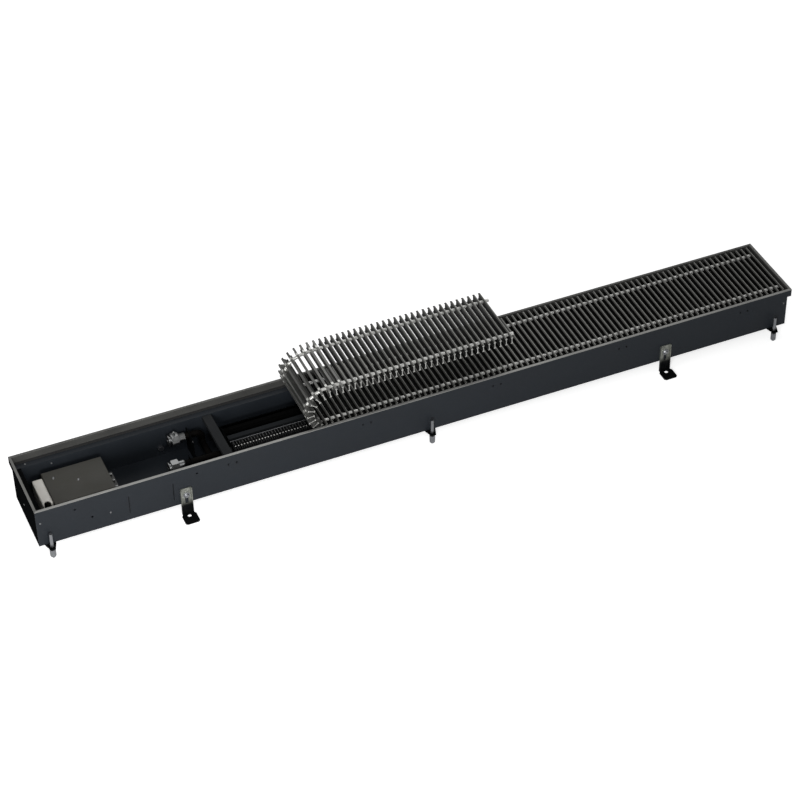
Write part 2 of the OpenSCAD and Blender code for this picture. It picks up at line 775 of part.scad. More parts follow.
// Sleeve through a nut, with a ring in front and the adaptor to the tube behind
module union_nipple() {
    difference() {
        union() {
            translate([0, 0, -nipple_gap]) cylinder(h = ring_t, d = union_af, $fn = 48);
            translate([0, 0, -nipple_gap])
                cylinder(h = nipple_gap + union_l, d = nipple_d - 2 * core_clear, $fn = 48);
            translate([0, 0, union_l]) children();
        }
        translate([0, 0, -nipple_gap - cut])
            cylinder(h = nipple_gap + union_l + cut, d = union_bore_d, $fn = 48);
    }
}

// The near adaptor is a smooth cap with a rounded shoulder, the far one a small hexagon
module union_nipples() {
    r = shoulder_r;
    color([0.75, 0.74, 0.7]) place() {
        at_union(union_x[0], supply_y) union_nipple() rotate_extrude($fn = 48)
            polygon(concat(
                [[0, 0], [cap_d / 2, 0]],
                [for (a = [0:15:90]) [cap_d / 2 - r + r * cos(a), adaptor_l - r + r * sin(a)]],
                [[0, adaptor_l]]));
        at_union(union_x[1], return_y) union_nipple() turned_hex(adaptor_l, adaptor_af);
    }
}

module air_vent() {
    color([0.75, 0.74, 0.7]) place()
    translate([union_x[1] + union_l / 2, return_y, union_z + union_af / 2]) union() {
        cylinder(h = vent_h * (1 - vent_cap_share), d = vent_d, $fn = 32);
        translate([0, 0, vent_h * (1 - vent_cap_share)])
            cylinder(h = vent_h * vent_cap_share, d = vent_d * 0.7, $fn = 32);
    }
}

// Upright plates that hold the pipes, each with a foot flange and a hole for its pipe
module pipe_plate(x, y0, y1, pipe_y) {
    difference() {
        along_y(y0, y1) polygon([
            [x, floor_z], [x + plate_flange, floor_z], [x + plate_flange, floor_z + plate_t],
            [x + plate_t, floor_z + plate_t], [x + plate_t, plate_top], [x, plate_top]]);
        rod_x(x - cut, x + plate_t + cut, pipe_y, union_z, tube_d + fit);
    }
}

module pipe_plates() {
    color([0.1, 0.1, 0.1]) place() {
        pipe_plate(near_plate_x, sheet_t, near_plate_y, supply_y);
        pipe_plate(far_plate_x, far_plate_y, inner_y, return_y);
    }
}

// Sector of a disc between two angles
module sector_outline(a0, a1, r) {
    steps = 8;
    polygon(concat([[0, 0]],
        [for (i = [0:steps]) let (a = a0 + (a1 - a0) * i / steps) [r * cos(a), r * sin(a)]]));
}

// Section of the casing about the shaft: open above, where the air comes in, with two lips to the windows
module casing_outline() {
    lip = fan_y - partition_face;
    difference() {
        circle(r = fan_r, $fn = 96);
        circle(r = fan_r - fan_wall, $fn = 96);
        sector_outline(inlet_from, inlet_to, fan_r * 1.5);
        sector_outline(180, 180 + outlet_turn, fan_r * 1.5);
    }
    translate([-lip, 0]) square([lip - fan_r + fan_wall, fan_wall]);
    translate([-lip, outlet_low - fan_z - fan_wall])
        square([lip - fan_r * cos(outlet_turn) + fan_wall, fan_wall]);
}

module fan_housing() {
    color([0.1, 0.1, 0.11]) place() {
        for (span = fan_spans)
            translate([0, fan_y, fan_z])
                along_x(span[0] + fan_plate_t, span[1] - fan_plate_t) casing_outline();
    }
}

module fan_end_plate() {
    rotate([90, 0, 90]) linear_extrude(height = fan_plate_t) difference() {
        union() {
            translate([fan_y, fan_z]) circle(r = fan_r, $fn = 96);
            translate([partition_face, floor_z])
                square([fan_y + fan_r - partition_face, fan_z + fan_wall - floor_z]);
        }
        translate([fan_y, fan_z]) circle(r = shaft_d / 2 + shaft_clear, $fn = 48);
    }
}

module fan_end_plates() {
    color([0.12, 0.12, 0.13]) place() {
        for (span = fan_spans) {
            translate([span[0], 0, 0]) fan_end_plate();
            translate([span[1] - fan_plate_t, 0, 0]) fan_end_plate();
        }
    }
}

module fan_motor() {
    color([0.2, 0.2, 0.21]) place() difference() {
        union() {
            rod_x(motor_x - motor_l / 2 + fan_gap, motor_x + motor_l / 2 - fan_gap, fan_y, fan_z,
                  2 * motor_r);
            box_between([motor_x - motor_l / 4, fan_y - motor_r * motor_foot_share, floor_z],
                        [motor_x + motor_l / 4, fan_y + motor_r * motor_foot_share, fan_z]);
        }
        rod_x(motor_x - motor_l, motor_x + motor_l, fan_y, fan_z, shaft_d + 2 * shaft_clear);
    }
}

// One blade's curved section, its outer edge on the rim of the impeller
module blade_outline() {
    depth = impeller_r * blade_depth_share;
    intersection() {
        translate([impeller_r - depth, -depth / 2]) difference() {
            circle(r = depth, $fn = 48);
            circle(r = depth - blade_t, $fn = 48);
        }
        translate([impeller_r - depth, 0]) square([depth - blade_t / 2, depth]);
    }
}

// Two barrel impellers on one shaft, each a ring of blades held by discs
module fan_impellers() {
    color([0.13, 0.13, 0.14]) place() translate([0, fan_y, fan_z]) union() {
        rotate([0, 90, 0]) translate([0, 0, coil_x]) cylinder(h = coil_end_x - coil_x, d = shaft_d, $fn = 48);
        for (span = fan_spans) {
            run_x0 = span[0] + 2 * fan_plate_t;
            run_x1 = span[1] - 2 * fan_plate_t;
            bay = (run_x1 - run_x0 - disc_t) / (discs_per_impeller - 1);
            for (i = [0:discs_per_impeller - 1])
                translate([run_x0 + i * bay, 0, 0]) rotate([0, 90, 0])
                    cylinder(h = disc_t, r = impeller_r, $fn = 96);
            for (i = [0:discs_per_impeller - 2], k = [0:fan_blades - 1])
                along_x(run_x0 + i * bay + disc_t, run_x0 + (i + 1) * bay)
                    rotate(360 * k / fan_blades) blade_outline();
        }
    }
}

// Open-topped tray of the controller
module control_box() {
    box_z = floor_z;
    color([0.3, 0.3, 0.28]) place() difference() {
        box_between([box_x, box_y, box_z], [box_x + box_l, box_y + box_w, box_z + box_h - lid_t]);
        box_between([box_x + box_wall, box_y + box_wall, box_z + box_wall],
                    [box_x + box_l - box_wall, box_y + box_w - box_wall, box_z + box_h + cut]);
    }
}

// Lid with its edges turned down outside the tray
module control_lid() {
    top_z = floor_z + box_h;
    low = [box_x - lid_t - fit, box_y - lid_t - fit, top_z - lid_skirt];
    high = [box_x + box_l + lid_t + fit, box_y + box_w + lid_t + fit, top_z];
    color([0.33, 0.33, 0.3]) place() difference() {
        box_between(low, high);
        box_between(low + [lid_t, lid_t, -cut], high - [lid_t, lid_t, lid_t]);
    }
}

// Pan heads on the lid
module lid_screws() {
    color([0.6, 0.6, 0.58]) place() {
        for (s = lid_screw_shares)
            translate([box_x + s[0] * box_l, box_y + s[1] * box_w, floor_z + box_h])
                cylinder(h = lid_screw_h, d1 = lid_screw_d, d2 = lid_screw_d * 0.6, $fn = 48);
    }
}

// Moulded cover beside the box, with rounded edges and a round cable notch in its near end
module terminal_cover() {
    x0 = box_x - lid_t - 2 * fit - terminal_w;
    y0 = box_y + box_w - terminal_l - terminal_edge * 3;
    color([0.72, 0.71, 0.68]) place() translate([x0, y0, floor_z]) difference() {
        along_y(0, terminal_l) terminal_outline(0);
        along_y(terminal_wall, terminal_l - terminal_wall) terminal_outline(terminal_wall);
        translate([terminal_w / 2, -cut, terminal_h - notch_d * 0.8]) rotate([-90, 0, 0])
            cylinder(h = terminal_wall + 2 * cut, d = notch_d, $fn = 48);
    }
}

// Section of the terminal cover, inset by a wall
module terminal_outline(inset) {
    r = terminal_edge;
    w = terminal_w - inset;
    h = terminal_h - inset;
    polygon(concat(
        [[inset, inset == 0 ? 0 : -cut]],
        [for (a = [180:-15:90]) [inset + r + r * cos(a), h - r + r * sin(a)]],
        [for (a = [90:-15:0]) [w - r + r * cos(a), h - r + r * sin(a)]],
        [[w, inset == 0 ? 0 : -cut]]));
}

// Strip at the right of the box, with its round terminals
module terminal_strip() {
    x0 = box_x + box_l + lid_t + 2 * fit;
    y0 = box_y + terminal_edge * 2;
    strip_l = terminal_l * 0.72;
    top_z = floor_z + box_h - strip_drop;
    color([0.6, 0.6, 0.58]) place() {
        box_between([x0, y0, floor_z], [x0 + strip_w, y0 + strip_l, top_z]);
        for (i = [0:lug_count - 1])
            translate([x0 + strip_w / 2, y0 + strip_l * (i + 0.5) / lug_count, top_z])
                cylinder(h = lug_h, d = lug_d, $fn = 32);
    }
}

// Section of a bar, in its own x and z, with its middle at the origin
module bar_outline() {
    f = bar_flange_w / 2;
    w = bar_web_t / 2;
    h = bar_h / 2;
    t = bar_flange_t;
    polygon([
        [-f, -h], [f, -h], [f, t - h], [w, t - h], [w, h - t], [f, h - t],
        [f, h], [-f, h], [-f, h - t], [-w, h - t], [-w, t - h], [-f, t - h]]);
}

// A bar lies across the trough, and has a hole for each string
module bar() {
    first_y = rim_w + bar_end_gap;
    difference() {
        along_y(first_y, first_y + bar_len) bar_outline();
        for (y = string_y)
            rod_x(-cut, cut, y, 0, core_d + 2 * core_clear);
    }
}

// Core and spacers of a row of bars whose first bar is at the origin: spacers fill the gaps to the right
module string(bars) {
    web = bar_web_t / 2;
    core = core_d / 2;
    bead = bead_d / 2;
    gaps = bars - 1;
    rotate([0, 90, 0]) rotate_extrude($fn = 32) polygon(concat(
        [[0, -web], [core, -web]],
        [for (i = [0:gaps - 1]) each [
            [core, i * bar_pitch + web], [bead, i * bar_pitch + web],
            [bead, (i + 1) * bar_pitch - web], [core, (i + 1) * bar_pitch - web]]],
        [[core, gaps * bar_pitch + web], [0, gaps * bar_pitch + web]]));
}

module grille_bars() {
    color([0.5, 0.5, 0.49]) place() {
        for (i = [0:flat_bars - 1])
            translate([last_bar_x - i * bar_pitch, 0, bar_z]) bar();
    }
}

module grille_strings() {
    color([0.72, 0.72, 0.7]) place() {
        for (y = string_y)
            translate([last_bar_x - (flat_bars - 1) * bar_pitch, y, bar_z]) string(flat_bars);
    }
}

// Puts a bar's own frame on the roll: hinge i on the right of the bar, turned by the fold up to there
module on_roll(i) {
    h = hinge_at(i);
    out = i < hinges - 1 ? roll_pitch / 2 : bar_pitch / 2;
    translate([h[0], 0, h[1]]) rotate([0, heading(i), 0]) translate([-out, 0, 0]) children();
}

// Short core and spacer that reach from a bar to the hinge on its right
module roll_bead(i) {
    web = bar_web_t / 2;
    core = core_d / 2;
    bead = bead_d / 2;
    end = roll_pitch / 2 + bead_reach(i);
    rotate([0, 90, 0]) rotate_extrude($fn = 32)
        polygon([[0, -web], [core, -web], [core, web], [bead, web], [bead, end], [0, end]]);
}

module roll_bar(i) {
    color([0.5, 0.5, 0.49]) place() on_roll(i) {
        bar();
        for (y = string_y)
            translate([0, y, 0]) roll_bead(i);
    }
}

module flap_bars() {
    color([0.5, 0.5, 0.49]) place() on_roll(hinges - 1) {
        for (i = [0:flap_bars - 1])
            translate([-i * bar_pitch, 0, 0]) bar();
    }
}

// The flap's own strings, their first spacer towards the roll, and a whole one past the end bar
module flap_strings() {
    web = bar_web_t / 2;
    color([0.72, 0.72, 0.7]) place() on_roll(hinges - 1) {
        for (y = string_y) {
            translate([-(flap_bars - 1) * bar_pitch, y, 0]) string(flap_bars);
            translate([web, y, 0]) rotate([0, 90, 0])
                cylinder(h = bar_pitch / 2 + bead_reach(hinges - 1) - web, d = bead_d, $fn = 32);
            translate([-(flap_bars - 1) * bar_pitch - web - bead_room, y, 0]) rotate([0, 90, 0])
                cylinder(h = bead_room, d = bead_d, $fn = 32);
        }
    }
}

trough();
left_end_plate();
right_end_plate();
front_ledge();
rim_near();
rim_far();
rim_left();
rim_right();
damping_strips();
cross_braces();
levelling_tabs();
levelling_locknuts();
bracket_screws();
rivets();
partition();
coil_block();
coil_return_bends();
coil_end_plates();
supply_pipe();
return_pipe();
union_nuts();
union_nipples();
air_vent();
pipe_plates();
fan_housing();
fan_end_plates();
fan_motor();
fan_impellers();
control_box();
control_lid();
lid_screws();
terminal_cover();
terminal_strip();
grille_bars();
grille_strings();
roll_bar(0);  // roll_bar_1
roll_bar(1);  // roll_bar_2
roll_bar(2);  // roll_bar_3
roll_bar(3);  // roll_bar_4
roll_bar(4);  // roll_bar_5
roll_bar(5);  // roll_bar_6
roll_bar(6);  // roll_bar_7
roll_bar(7);  // roll_bar_8
roll_bar(8);  // roll_bar_9
roll_bar(9);  // roll_bar_10
roll_bar(10);  // roll_bar_11
flap_bars();
flap_strings();
levelling_foot(0);  // levelling_foot_1
levelling_foot(1);  // levelling_foot_2
levelling_foot(2);  // levelling_foot_3
levelling_foot(3);  // levelling_foot_4
levelling_foot(4);  // levelling_foot_5
levelling_foot(5);  // levelling_foot_6
anchor_bracket(0);  // anchor_bracket_1
anchor_bracket(1);  // anchor_bracket_2
anchor_bracket(2);  // anchor_bracket_3
anchor_bracket(3);  // anchor_bracket_4
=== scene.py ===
# %% [markdown]
# # A trench convector, dressed for its portrait
# The heater is a long sheet-metal trough that is sunk in a floor. A grille of bars covers it, and the grille
# is rolled back over itself here, so the pipe connections can be seen. The solid model comes in as a fixed
# frame: every bar, sheet and nut is already at its real place, in metres. This script gives each of them its
# finish, adds the small pieces that a solid model leaves out, and lights the whole.

# %% Load the frame
import math

import bpy
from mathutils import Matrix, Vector


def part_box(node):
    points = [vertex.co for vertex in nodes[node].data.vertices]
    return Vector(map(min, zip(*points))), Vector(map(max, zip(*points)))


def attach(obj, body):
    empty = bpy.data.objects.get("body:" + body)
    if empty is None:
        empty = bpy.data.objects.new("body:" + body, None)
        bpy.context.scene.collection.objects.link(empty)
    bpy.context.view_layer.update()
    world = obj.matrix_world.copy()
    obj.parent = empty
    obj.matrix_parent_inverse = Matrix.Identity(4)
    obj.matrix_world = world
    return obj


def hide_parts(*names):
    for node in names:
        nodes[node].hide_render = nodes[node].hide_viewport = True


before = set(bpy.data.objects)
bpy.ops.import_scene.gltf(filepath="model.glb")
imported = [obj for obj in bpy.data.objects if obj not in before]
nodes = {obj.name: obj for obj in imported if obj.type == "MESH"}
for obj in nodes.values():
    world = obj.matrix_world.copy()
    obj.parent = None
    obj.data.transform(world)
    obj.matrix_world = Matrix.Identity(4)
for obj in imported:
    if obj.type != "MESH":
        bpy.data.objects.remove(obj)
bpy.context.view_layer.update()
bpy.ops.object.select_all(action="DESELECT")

# %% [markdown]
# ## Helpers for the finishes
# Paint makers give a colour as an sRGB hex code, but a renderer adds up light, so it needs linear numbers.
# One function turns the first into the second. Another adds a shader node, sets what it is given and links
# what it is given, so that each finish below reads as a short recipe. The third gives the scale of a pattern
# from the size of its grain in millimetres, as one would measure it on the metal.

# %% Colour, node and scale
MM = 0.001
NOISE_LOW, NOISE_HIGH = 0.3, 0.7    # most of a noise lies between these values


def colour(code):
    """Linear RGBA from an sRGB hex code."""
    channels = [int(code[i:i + 2], 16) / 255 for i in (1, 3, 5)]
    linear = [c / 12.92 if c <= 0.04045 else ((c + 0.055) / 1.055) ** 2.4 for c in channels]
    return (*linear, 1)


def add(tree, kind, inputs=None, **settings):
    """A new node: settings are its properties, inputs are values or sockets to link."""
    node = tree.nodes.new(kind)
    for name, value in settings.items():
        setattr(node, name, value)
    for name, value in (inputs or {}).items():
        if isinstance(value, bpy.types.NodeSocket):
            tree.links.new(value, node.inputs[name])
        else:
            node.inputs[name].default_value = value
    return node


def per_mm(size):
    """Texture scale, in metres, at which one grain of a pattern measures this many millimetres."""
    return 1 / (size * MM)


print("a mid grey", [round(c, 3) for c in colour("#808080")])

# %% [markdown]
# ## An empty material, and masks for its faces
# A sawn bar has bare ends and sides in painted shade, and a coated flange has a painted lighter top. Such
# places could get a material of their own, face by face, but the solids are meshes that stay as they are. So
# each finish starts from the object's own coordinates, and a mask picks the faces by the direction that they
# look in.

# %% Empty material and mask
ALONG = 0.9     # how far a normal points along an axis, from 0 to 1, before its face counts as facing it


def start(name):
    """An empty material, its node tree and the object's own coordinates."""
    made = bpy.data.materials.new(name)
    made.use_nodes = True
    tree = made.node_tree
    tree.nodes.clear()
    place = add(tree, "ShaderNodeTexCoord").outputs["Object"]
    return made, tree, place


def facing(tree, axis, away=False):
    """A mask of the faces that look along an axis, either way, or of all the others."""
    normal = add(tree, "ShaderNodeTexCoord").outputs["Normal"]
    parts = add(tree, "ShaderNodeSeparateXYZ", {"Vector": normal})
    size = add(tree, "ShaderNodeMath", {0: parts.outputs[axis]}, operation="ABSOLUTE")
    mask = add(tree, "ShaderNodeMath", {0: size.outputs["Value"], 1: ALONG},
               operation="LESS_THAN" if away else "GREATER_THAN")
    return mask.outputs["Value"]


print("a face looks along an axis within", round(math.degrees(math.acos(ALONG))), "degrees of it")

# %% [markdown]
# ## Coated sheet
# The trough, its ledge and its braces are zinc-coated steel sheet under a dark grey powder coat, and the end
# plates and the fan's casing are black. Powder melts into a skin with a faint orange peel, a few millimetres
# from wave to wave, and hand prints and dust leave it a little uneven. A picture of real paint would have to
# be unwrapped round every fold. Noise in the object's own coordinates has no seams, so the recipe is one dark
# colour with a slow, weak variation, a gloss that varies the same way, and a very low bump for the peel. The
# partition's flange catches more light than its web, so its top has a colour of its own.

# %% Powder coat recipe
def powder_coat(name, dark, light, patch=90, peel=2.5, rough=(0.5, 0.66), shine=0.3, lift=0.06, top=None):
    """A cloudy colour, a gloss that follows it and a low peel, with a painted highlight on top if one is
    given.
    """
    made, tree, place = start(name)
    patches = add(tree, "ShaderNodeTexNoise",
                  {"Vector": place, "Scale": per_mm(patch), "Detail": 4.0, "Roughness": 0.55})
    tint = add(tree, "ShaderNodeMix",
               {"Factor": patches.outputs["Fac"], "A": colour(dark), "B": colour(light)}, data_type="RGBA")
    if top:
        tint = add(tree, "ShaderNodeMix",
                   {"Factor": facing(tree, "Z"), "A": tint.outputs["Result"], "B": colour(top)},
                   data_type="RGBA")
    gloss = add(tree, "ShaderNodeMapRange",
                {"Value": patches.outputs["Fac"], "From Min": NOISE_LOW, "From Max": NOISE_HIGH,
                 "To Min": rough[0], "To Max": rough[1]})
    grain = add(tree, "ShaderNodeTexNoise", {"Vector": place, "Scale": per_mm(peel), "Detail": 2.0})
    bump = add(tree, "ShaderNodeBump",
               {"Height": grain.outputs["Fac"], "Strength": lift, "Distance": 0.2 * MM})
    skin = add(tree, "ShaderNodeBsdfPrincipled",
               {"Base Color": tint.outputs["Result"], "Roughness": gloss.outputs["Result"],
                "Normal": bump.outputs["Normal"], "IOR": 1.5, "Specular IOR Level": shine})
    add(tree, "ShaderNodeOutputMaterial", {"Surface": skin.outputs["BSDF"]})
    return made


# %% Powder coats
MATT = (0.85, 0.98)
trough_coat = powder_coat("powder_coated_steel_graphite", "#191d22", "#20252b")
black_coat = powder_coat("powder_coated_steel_black", "#0a0b0c", "#101112", patch=60, rough=MATT, shine=0.0)
fan_coat = powder_coat("matt_black_fan_steel", "#050505", "#090909", patch=60, rough=MATT, shine=0.0)
brace_coat = powder_coat("powder_coated_brace_steel", "#17191b", "#1e2022", patch=60, rough=(0.6, 0.75),
                         shine=0.2)
# The top colour of this coat is a painted highlight: the flange catches more light than its web.
web_coat = powder_coat("powder_coated_partition_steel", "#1b1d1f", "#222426", patch=60, shine=0.0,
                       top="#26282a")
box_coat = powder_coat("enamelled_steel_olive_grey", "#34332f", "#3f3e38", patch=45, shine=0.4)
print("powder coats", trough_coat.name, black_coat.name, box_coat.name)

# %% [markdown]
# ## Painted highlights and spacers on the bars
# The bars of the grille are sawn from long profiles. The right edge of each flange has a small radius that
# catches the light as a thin line, and in the roll each bar and its spacers are one solid, so the spacers
# can't have a material of their own. New pieces could cover both, but the solids stay as they are, and the
# eye sees only a line and a lighter spot. So a mask that counts the bars by their pitch draws the line as a
# painted highlight, and a mask as wide as a spacer shows where bare metal is.

# %% Masks for edges and spacers
BAR_PITCH = 15.25 * MM
EDGE_WIDTH = 1.9 * MM
low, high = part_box("grille_strings")
spacer_r = (high[2] - low[2]) / 2
spacer_rows = [low[1] + spacer_r, high[1] - spacer_r]


def painted_edge_highlight(tree, place, right_edge):
    """A mask of a painted highlight line along the right edge of every bar, counted back from the last one.
    """
    x = add(tree, "ShaderNodeSeparateXYZ", {"Vector": place}).outputs["X"]
    shift = add(tree, "ShaderNodeMath", {0: x, 1: right_edge}, operation="SUBTRACT")
    pitches = add(tree, "ShaderNodeMath", {0: shift.outputs["Value"], 1: BAR_PITCH}, operation="DIVIDE")
    within = add(tree, "ShaderNodeMath", {0: pitches.outputs["Value"]}, operation="FRACT")
    line = add(tree, "ShaderNodeMath", {0: within.outputs["Value"], 1: 1 - EDGE_WIDTH / BAR_PITCH},
               operation="GREATER_THAN")
    return line.outputs["Value"]


def spacer_band(tree, place, row):
    """A mask as wide as the spacers of one row."""
    y = add(tree, "ShaderNodeSeparateXYZ", {"Vector": place}).outputs["Y"]
    inside = add(tree, "ShaderNodeMath", {0: y, 1: row, 2: spacer_r}, operation="COMPARE")
    return inside.outputs["Value"]


print("spacers of", round(2 * spacer_r / MM, 2), "mm in rows at y", [round(y, 4) for y in spacer_rows])

# %% [markdown]
# ## Drawn and anodised aluminium
# The bars and the rim are aluminium profiles, pressed through a die and then anodised. The die leaves fine
# lines that all run along the profile, and the anodised skin makes the metal matt and a little darker. An
# anisotropic shader would give the streaked gloss, but not the lines themselves. So the lines are noise that
# is stretched along the length, and they work on the colour, the gloss and a low bump. Real die lines are a
# few hundredths of a millimetre apart: here they are drawn at about half a millimetre, because finer ones
# would not show. The sawn ends of the bars are bare and bright, and their sides get a darker colour as
# painted shade.

# %% Anodised profile recipe
# A painted highlight: the colour of the thin line along each bar's right edge.
PAINTED_EDGE_HIGHLIGHT = "#8c8c88"
CLOUD_SIZE = 70
BOTH_LOW, BOTH_HIGH = 0.12, 0.4    # most of the product of two noises lies between these values


def drawn_metal(name, dark, light, along, line=0.5, run=120, rough=(0.34, 0.5), lift=0.12, metal=1.0,
                edge=None, side=None, bare=None, rows=()):
    """Lines along a profile, with a painted highlight edge, sides in painted shade, bare ends and bare rows
    where they are given.
    """
    made, tree, place = start(name)
    scale = [per_mm(line)] * 3
    scale["XYZ".index(along)] = per_mm(run)
    stretched = add(tree, "ShaderNodeMapping", {"Vector": place, "Scale": scale})
    lines = add(tree, "ShaderNodeTexNoise",
                {"Vector": stretched.outputs["Vector"], "Scale": 1.0, "Detail": 3.0})
    cloud = add(tree, "ShaderNodeTexNoise", {"Vector": place, "Scale": per_mm(CLOUD_SIZE), "Detail": 2.0})
    both = add(tree, "ShaderNodeMath", {0: lines.outputs["Fac"], 1: cloud.outputs["Fac"]},
               operation="MULTIPLY")
    spread = add(tree, "ShaderNodeMapRange",
                 {"Value": both.outputs["Value"], "From Min": BOTH_LOW, "From Max": BOTH_HIGH})
    tint = add(tree, "ShaderNodeMix",
               {"Factor": spread.outputs["Result"], "A": colour(dark), "B": colour(light)},
               data_type="RGBA")
    marks = []
    if edge is not None:
        marks.append((painted_edge_highlight(tree, place, edge), PAINTED_EDGE_HIGHLIGHT))
    if side:
        marks.append((facing(tree, "Z", away=True), side))
    if bare:
        marks.append((facing(tree, "Y"), bare))
    for row in rows:
        marks.append((spacer_band(tree, place, row), bare))
    for mask, shade in marks:
        tint = add(tree, "ShaderNodeMix", {"Factor": mask, "A": tint.outputs["Result"], "B": colour(shade)},
                   data_type="RGBA")
    gloss = add(tree, "ShaderNodeMapRange",
                {"Value": lines.outputs["Fac"], "From Min": NOISE_LOW, "From Max": NOISE_HIGH,
                 "To Min": rough[0], "To Max": rough[1]})
    bump = add(tree, "ShaderNodeBump",
               {"Height": lines.outputs["Fac"], "Strength": lift, "Distance": 0.05 * MM})
    skin = add(tree, "ShaderNodeBsdfPrincipled",
               {"Base Color": tint.outputs["Result"], "Metallic": metal,
                "Roughness": gloss.outputs["Result"], "Normal": bump.outputs["Normal"]})
    add(tree, "ShaderNodeOutputMaterial", {"Surface": skin.outputs["BSDF"]})
    return made


# %% Finish of the bars
BARE = "#d6d6d2"
BAR_ROUGH = (0.42, 0.58)


def bar_finish(name, node):
    """The finish of a run of bars, whose last flange ends at the right side of its node."""
    # The side colour is painted shade, darker than the tops because of how the light falls.
    return drawn_metal(name, "#41413f", "#4f4f4d", "Y", rough=BAR_ROUGH, metal=0.8,
                       edge=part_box(node)[1][0], side="#343433", bare=BARE)


bar_metal = bar_finish("anodised_bar_aluminium", "grille_bars")
flap_metal = bar_finish("anodised_flap_aluminium", "flap_bars")
# The roll is the same anodised aluminium as the bars, painted lighter for the light that falls on it from the
# left.
roll_metal_painted_lit = drawn_metal("anodised_roll_aluminium_painted_lit", "#6a6a68", "#7e7e7b", "Y", rough=BAR_ROUGH, metal=0.8,
                         bare=BARE, rows=spacer_rows)
print("bars", bar_metal.name, flap_metal.name, roll_metal_painted_lit.name)

# %% [markdown]
# ## Other aluminium
# The rim's sides lie in different light, so each direction gets a painted tone of its own: the near side is
# painted lit, the far side painted shade, and the ends lie between. The spacers are turned on a lathe, which
# leaves no long lines, so their pattern is as long as it is wide. The combs, the seal and the fins are thin
# strip. Each is the recipe above with other numbers, because it is the same metal.

# %% Rim, spacers and strips
STRIP_ROUGH = (0.5, 0.65)
rim_painted_lit = drawn_metal("anodised_rim_aluminium_painted_lit", "#8e8e8c", "#a3a3a0", "X", rough=(0.45, 0.6), metal=0.7)
rim_painted_shade = drawn_metal("anodised_rim_aluminium_painted_shade", "#5a5a58", "#6c6c69", "X", rough=STRIP_ROUGH,
                       metal=0.7)
rim_painted_half_shade = drawn_metal("anodised_rim_aluminium_painted_half_shade", "#6d6d6b", "#7f7f7c", "Y", rough=(0.45, 0.6),
                        metal=0.7)
spacer_metal = drawn_metal("turned_spacer_aluminium", "#f0f0ec", "#fafaf6", "X", line=2.5, run=2.5,
                           rough=(0.34, 0.46), metal=0.2)
dot_metal = drawn_metal("bare_comb_aluminium", "#c4c4c0", "#d8d8d4", "Y", rough=STRIP_ROUGH, metal=0.2)
stroke_metal = drawn_metal("dull_comb_aluminium", "#4a4a4a", "#5a5a5a", "Y", rough=STRIP_ROUGH, metal=0.4)
seal_metal = drawn_metal("foil_seal_aluminium", "#747678", "#888a8c", "X", rough=STRIP_ROUGH, metal=0.3)
fin_metal = drawn_metal("black_coated_fin_aluminium", "#101113", "#1a1b1e", "Z", rough=STRIP_ROUGH, metal=0.3)
print("aluminium", rim_painted_lit.name, spacer_metal.name, fin_metal.name)

# %% [markdown]
# ## Galvanised brackets with painted dark feet
# The brackets are hot-dip galvanised: the zinc freezes into flat crystals, a few millimetres wide, and each
# reflects a little differently. Noise would blur them into clouds, while a Voronoi pattern gives cells with
# sharp borders. The feet of the brackets get a painted dark reflection, black at the foot and fading out a
# few centimetres up.

# %% Galvanised steel
# Painted dark reflection: black at the foot, fading into the zinc further up.
FOOT_REFLECTION_BLACK = "#0b0c0d"
FOOT_REFLECTION_FULL = 26 * MM
FOOT_REFLECTION_END = 56 * MM
ZINC_METAL = 0.85
bracket_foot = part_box("anchor_bracket_1")[0][2]


def galvanised(name, dark, light, crystal=6, rough=(0.32, 0.5), shine=0.15):
    """Zinc crystals above, and a painted dark reflection below, where the metal no longer shows."""
    made, tree, place = start(name)
    cells = add(tree, "ShaderNodeTexVoronoi", {"Vector": place, "Scale": per_mm(crystal)})
    value = add(tree, "ShaderNodeSeparateColor", {"Color": cells.outputs["Color"]})
    zinc = add(tree, "ShaderNodeMix", {"Factor": value.outputs["Red"], "A": colour(dark), "B": colour(light)},
               data_type="RGBA")
    height = add(tree, "ShaderNodeSeparateXYZ", {"Vector": place}).outputs["Z"]
    clear = add(tree, "ShaderNodeMapRange",
                {"Value": height, "From Min": bracket_foot + FOOT_REFLECTION_FULL, "From Max": bracket_foot + FOOT_REFLECTION_END},
                interpolation_type="SMOOTHSTEP")
    tint = add(tree, "ShaderNodeMix",
               {"Factor": clear.outputs["Result"], "A": colour(FOOT_REFLECTION_BLACK), "B": zinc.outputs["Result"]},
               data_type="RGBA")
    gloss = add(tree, "ShaderNodeMapRange",
                {"Value": value.outputs["Green"], "To Min": rough[0], "To Max": rough[1]})
    metal = add(tree, "ShaderNodeMath", {0: clear.outputs["Result"], 1: ZINC_METAL}, operation="MULTIPLY")
    skin = add(tree, "ShaderNodeBsdfPrincipled",
               {"Base Color": tint.outputs["Result"], "Metallic": metal.outputs["Value"],
                "Roughness": gloss.outputs["Result"], "Specular IOR Level": shine})
    add(tree, "ShaderNodeOutputMaterial", {"Surface": skin.outputs["BSDF"]})
    return made


zinc_painted_dark_foot = galvanised("galvanised_bracket_steel", "#84867f", "#b4b6ad")
print("bracket steel", zinc_painted_dark_foot.name, "black up to", round(FOOT_REFLECTION_FULL / MM), "mm")

# %% [markdown]
# ## Zinc plate, nickel, and pipes in painted shade
# The studs and screws have thin, bright electroplated zinc, the unions are nickel-plated brass and the nuts
# are blackened steel. The pipes are copper, given a near-black colour as painted shade, because they lie in
# the dark bay. They differ in colour and gloss, and have only slight handling marks, so one recipe with a
# single weak noise serves them all.

